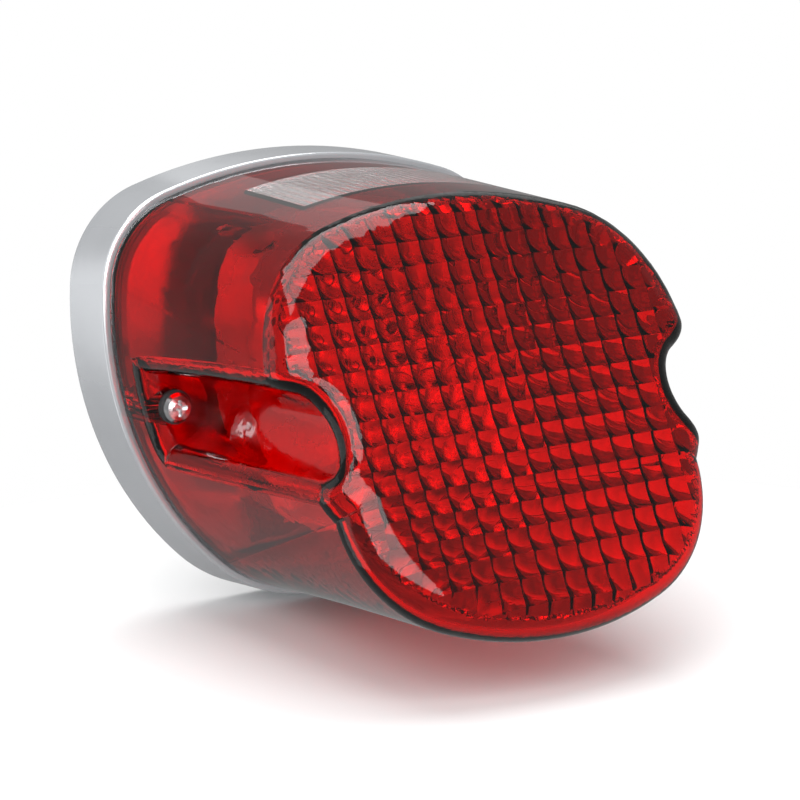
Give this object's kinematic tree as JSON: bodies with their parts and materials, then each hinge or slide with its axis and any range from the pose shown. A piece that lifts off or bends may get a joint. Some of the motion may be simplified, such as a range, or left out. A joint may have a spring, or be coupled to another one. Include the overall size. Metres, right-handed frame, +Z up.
{
  "type": "motorcycle tail light",
  "caption": "Motorcycle tail light: flared chrome base with a raked red prismatic lens held by side screws, clear plate window on top, twin-filament bulb inside.",
  "frame": {"origin": "centre of the two mounting holes, on the flat back of the base", "axes": "+Z up, the lamp shines along -Y, +Y into the mudguard, +X to the lamp's left as it rides"},
  "size_m": [0.129, 0.1416, 0.1233],
  "materials": {
    "chrome": "bright chrome plating",
    "red_lens": "transparent red plastic",
    "clear_plastic": "clear plastic",
    "black_rubber": "matt black rubber",
    "brass": "machined brass",
    "zinc_steel": "bright zinc plated steel",
    "bright_reflector": "vacuum metallised reflector",
    "phenolic": "brown phenolic board",
    "clear_glass": "clear bulb glass",
    "tungsten": "tungsten wire",
    "solder": "solder",
    "header_plastic": "black nylon",
    "red_insulation": "red wire insulation",
    "blue_insulation": "blue wire insulation",
    "black_insulation": "black wire insulation"
  },
  "bodies": {
    "base": {"base_housing": "chrome", "mounting_gasket": "black_rubber", "mounting_inserts": "brass", "lens_gasket": "black_rubber", "lens_screw_inserts": "brass", "socket_shell": "zinc_steel", "socket_bracket": "zinc_steel", "socket_rivets": "brass", "socket_insulator": "phenolic", "contact_spring": "zinc_steel", "reflector": "bright_reflector", "reflector_screws": "zinc_steel", "connector_header": "header_plastic", "header_pins": "brass", "tail_lead": "blue_insulation", "brake_lead": "red_insulation", "ground_lead": "black_insulation", "ground_terminal": "brass"},
    "lens_assembly": {"lens": "red_lens", "plate_window": "clear_plastic"},
    "washer_left": {"lens_washer_left": "black_rubber"},
    "washer_right": {"lens_washer_right": "black_rubber"},
    "screw_left": {"lens_screw_left": "zinc_steel"},
    "screw_right": {"lens_screw_right": "zinc_steel"},
    "carrier": {"contact_carrier": "phenolic", "contact_buttons": "brass"},
    "bulb": {"bulb_cap": "brass", "bulb_pins": "brass", "bulb_contacts": "solder", "bulb_glass": "clear_glass", "bulb_stem": "clear_glass", "bulb_filaments": "tungsten"}
  },
  "joints": [
    {"name": "lens_lift_off", "type": "slide", "parent": "base", "child": "lens_assembly", "axis": [0, -1, 0], "range_m": [0, 0.12]},
    {"name": "screw_left_withdraw", "type": "slide", "parent": "lens_assembly", "child": "washer_left", "axis": [0, -1, 0], "range_m": [0, 0.00953]},
    {"name": "screw_left_turn", "type": "hinge", "parent": "washer_left", "child": "screw_left", "pos_m": [-0.051, -0.04, 0.0005], "axis": [0, -1, 0], "range_deg": [0, 4320]},
    {"name": "screw_right_withdraw", "type": "slide", "parent": "lens_assembly", "child": "washer_right", "axis": [0, -1, 0], "range_m": [0, 0.00953]},
    {"name": "screw_right_turn", "type": "hinge", "parent": "washer_right", "child": "screw_right", "pos_m": [0.051, -0.04, 0.0005], "axis": [0, -1, 0], "range_deg": [0, 4320]},
    {"name": "bulb_push", "type": "slide", "parent": "base", "child": "carrier", "axis": [0, 1, 0], "range_m": [0, 0.002], "stiffness_N_per_m": 2500, "springref_m": -0.004, "deforming": ["contact_spring"]},
    {"name": "bulb_turn", "type": "hinge", "parent": "carrier", "child": "bulb", "pos_m": [0, -0.03, 0.012], "axis": [0, -1, 0], "range_deg": [0, 25]}
  ],
  "couplings": [
    {"joint": "screw_left_turn", "follows": "screw_left_withdraw", "rad_per_m": 7913.3},
    {"joint": "screw_right_turn", "follows": "screw_right_withdraw", "rad_per_m": 7913.3}
  ]
}
